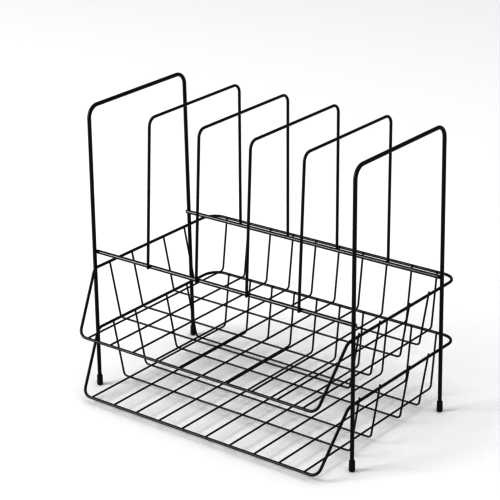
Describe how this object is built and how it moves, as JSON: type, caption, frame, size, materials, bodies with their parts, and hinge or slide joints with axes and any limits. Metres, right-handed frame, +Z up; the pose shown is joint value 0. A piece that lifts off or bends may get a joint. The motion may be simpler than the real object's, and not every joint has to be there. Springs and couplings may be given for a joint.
{
  "type": "wire desk file organizer",
  "caption": "Black coated wire desk organizer: open-front letter trays below, and upright dividers on two rails above for files standing on edge.",
  "frame": {"origin": "on the floor, at the centre of the organizer's outline seen from above", "axes": "+X to the right along the trays' front edges, +Y from the open front to the rear, +Z up"},
  "size_m": [0.378, 0.2622, 0.3482],
  "materials": {
    "frame_wire": "gloss black coating over steel wire",
    "rail_wire": "gloss black coating over steel wire",
    "divider_wire": "gloss black coating over steel wire",
    "rim_wire": "gloss black coating over steel wire",
    "grid_wire": "gloss black coating over steel wire",
    "foot_cap": "satin black soft vinyl"
  },
  "bodies": {
    "root": {"left_end_frame": "frame_wire", "right_end_frame": "frame_wire", "front_rail": "rail_wire", "rear_rail": "rail_wire", "divider_1": "divider_wire", "divider_2": "divider_wire", "divider_3": "divider_wire", "divider_4": "divider_wire", "upper_tray_rim": "rim_wire", "lower_tray_rim": "rim_wire", "upper_long_wire_1": "grid_wire", "upper_long_wire_2": "grid_wire", "upper_long_wire_3": "grid_wire", "upper_long_wire_4": "grid_wire", "upper_long_wire_5": "grid_wire", "upper_long_wire_6": "grid_wire", "upper_long_wire_7": "grid_wire", "upper_long_wire_8": "grid_wire", "upper_long_wire_9": "grid_wire", "upper_long_wire_10": "grid_wire", "upper_cross_wire_1": "grid_wire", "upper_cross_wire_2": "grid_wire", "upper_cross_wire_3": "grid_wire", "upper_cross_wire_4": "grid_wire", "lower_long_wire_1": "grid_wire", "lower_long_wire_2": "grid_wire", "lower_long_wire_3": "grid_wire", "lower_long_wire_4": "grid_wire", "lower_long_wire_5": "grid_wire", "lower_long_wire_6": "grid_wire", "lower_long_wire_7": "grid_wire", "lower_long_wire_8": "grid_wire", "lower_long_wire_9": "grid_wire", "lower_long_wire_10": "grid_wire", "lower_cross_wire_1": "grid_wire", "lower_cross_wire_2": "grid_wire", "lower_cross_wire_3": "grid_wire", "lower_cross_wire_4": "grid_wire", "front_left_cap": "foot_cap", "front_right_cap": "foot_cap", "rear_left_cap": "foot_cap", "rear_right_cap": "foot_cap"}
  },
  "joints": []
}
